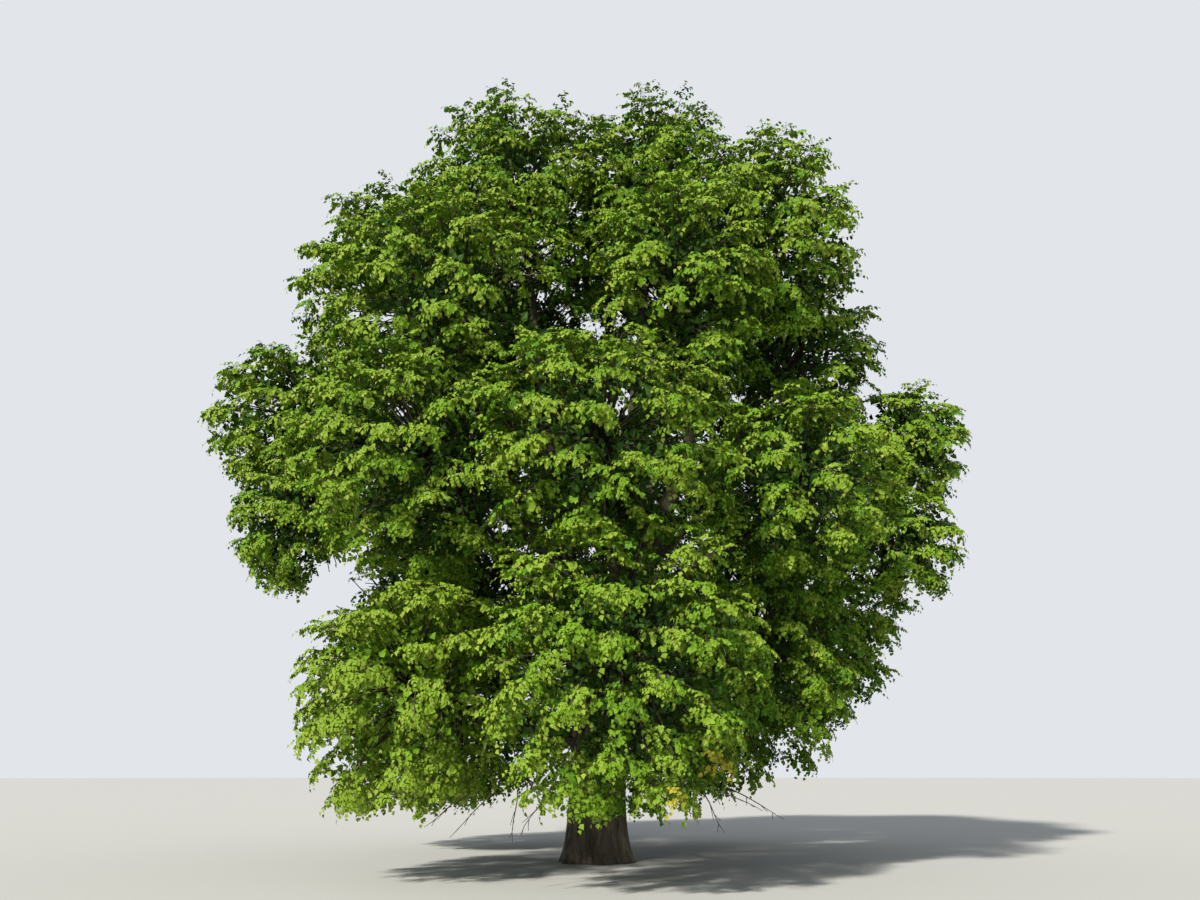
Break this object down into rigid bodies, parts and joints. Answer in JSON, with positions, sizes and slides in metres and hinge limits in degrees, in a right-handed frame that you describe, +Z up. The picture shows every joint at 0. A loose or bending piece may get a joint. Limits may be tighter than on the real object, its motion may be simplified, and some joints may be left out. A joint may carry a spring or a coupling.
{
  "type": "large-leaved linden tree",
  "caption": "Full-grown broad-leaved linden with a short flared trunk, rising boughs and a dense, wide, lobed crown that hangs almost to the ground.",
  "frame": {"origin": "centre of the flat cut under the trunk, at ground level", "axes": "+Z up along the trunk, -Y towards the side the picture shows, +X to that picture's right"},
  "size_m": [16.3355, 15.5676, 16.7507],
  "materials": {
    "bark": "rough grey-brown bark with shallow upright ridges",
    "bough": "grey-brown bark, smoother than the trunk's",
    "foliage": "soft mid-green summer leaves"
  },
  "bodies": {
    "root": {"trunk": "bark", "bough_droop_left": "bough", "bough_lobe_left": "bough", "bough_lobe_right_high": "bough", "bough_lobe_right_low": "bough", "bough_low_back_left": "bough", "bough_low_back_right": "bough", "bough_low_far_right": "bough", "bough_low_front": "bough", "bough_low_left": "bough", "bough_low_right": "bough", "bough_middle_back": "bough", "bough_middle_back_left": "bough", "bough_middle_back_right": "bough", "bough_middle_front": "bough", "bough_middle_front_left": "bough", "bough_middle_front_right": "bough", "bough_shoulder_left": "bough", "bough_shoulder_right": "bough", "bough_side_left": "bough", "bough_top_back_left": "bough", "bough_top_back_right": "bough", "bough_top_far_right": "bough", "bough_top_left": "bough", "bough_top_right": "bough", "bough_upper_back": "bough", "bough_upper_back_left": "bough", "bough_upper_back_right": "bough", "bough_upper_front_left": "bough", "bough_upper_front_right": "bough", "foliage_droop_left": "foliage", "foliage_lobe_left": "foliage", "foliage_lobe_right_high": "foliage", "foliage_lobe_right_low": "foliage", "foliage_low_back_left": "foliage", "foliage_low_back_right": "foliage", "foliage_low_far_right": "foliage", "foliage_low_front": "foliage", "foliage_low_left": "foliage", "foliage_low_right": "foliage", "foliage_middle_back": "foliage", "foliage_middle_back_left": "foliage", "foliage_middle_back_right": "foliage", "foliage_middle_front": "foliage", "foliage_middle_front_left": "foliage", "foliage_middle_front_right": "foliage", "foliage_shoulder_left": "foliage", "foliage_shoulder_right": "foliage", "foliage_side_left": "foliage", "foliage_top_back_left": "foliage", "foliage_top_back_right": "foliage", "foliage_top_far_right": "foliage", "foliage_top_left": "foliage", "foliage_top_right": "foliage", "foliage_upper_back": "foliage", "foliage_upper_back_left": "foliage", "foliage_upper_back_right": "foliage", "foliage_upper_front_left": "foliage", "foliage_upper_front_right": "foliage"}
  },
  "joints": []
}
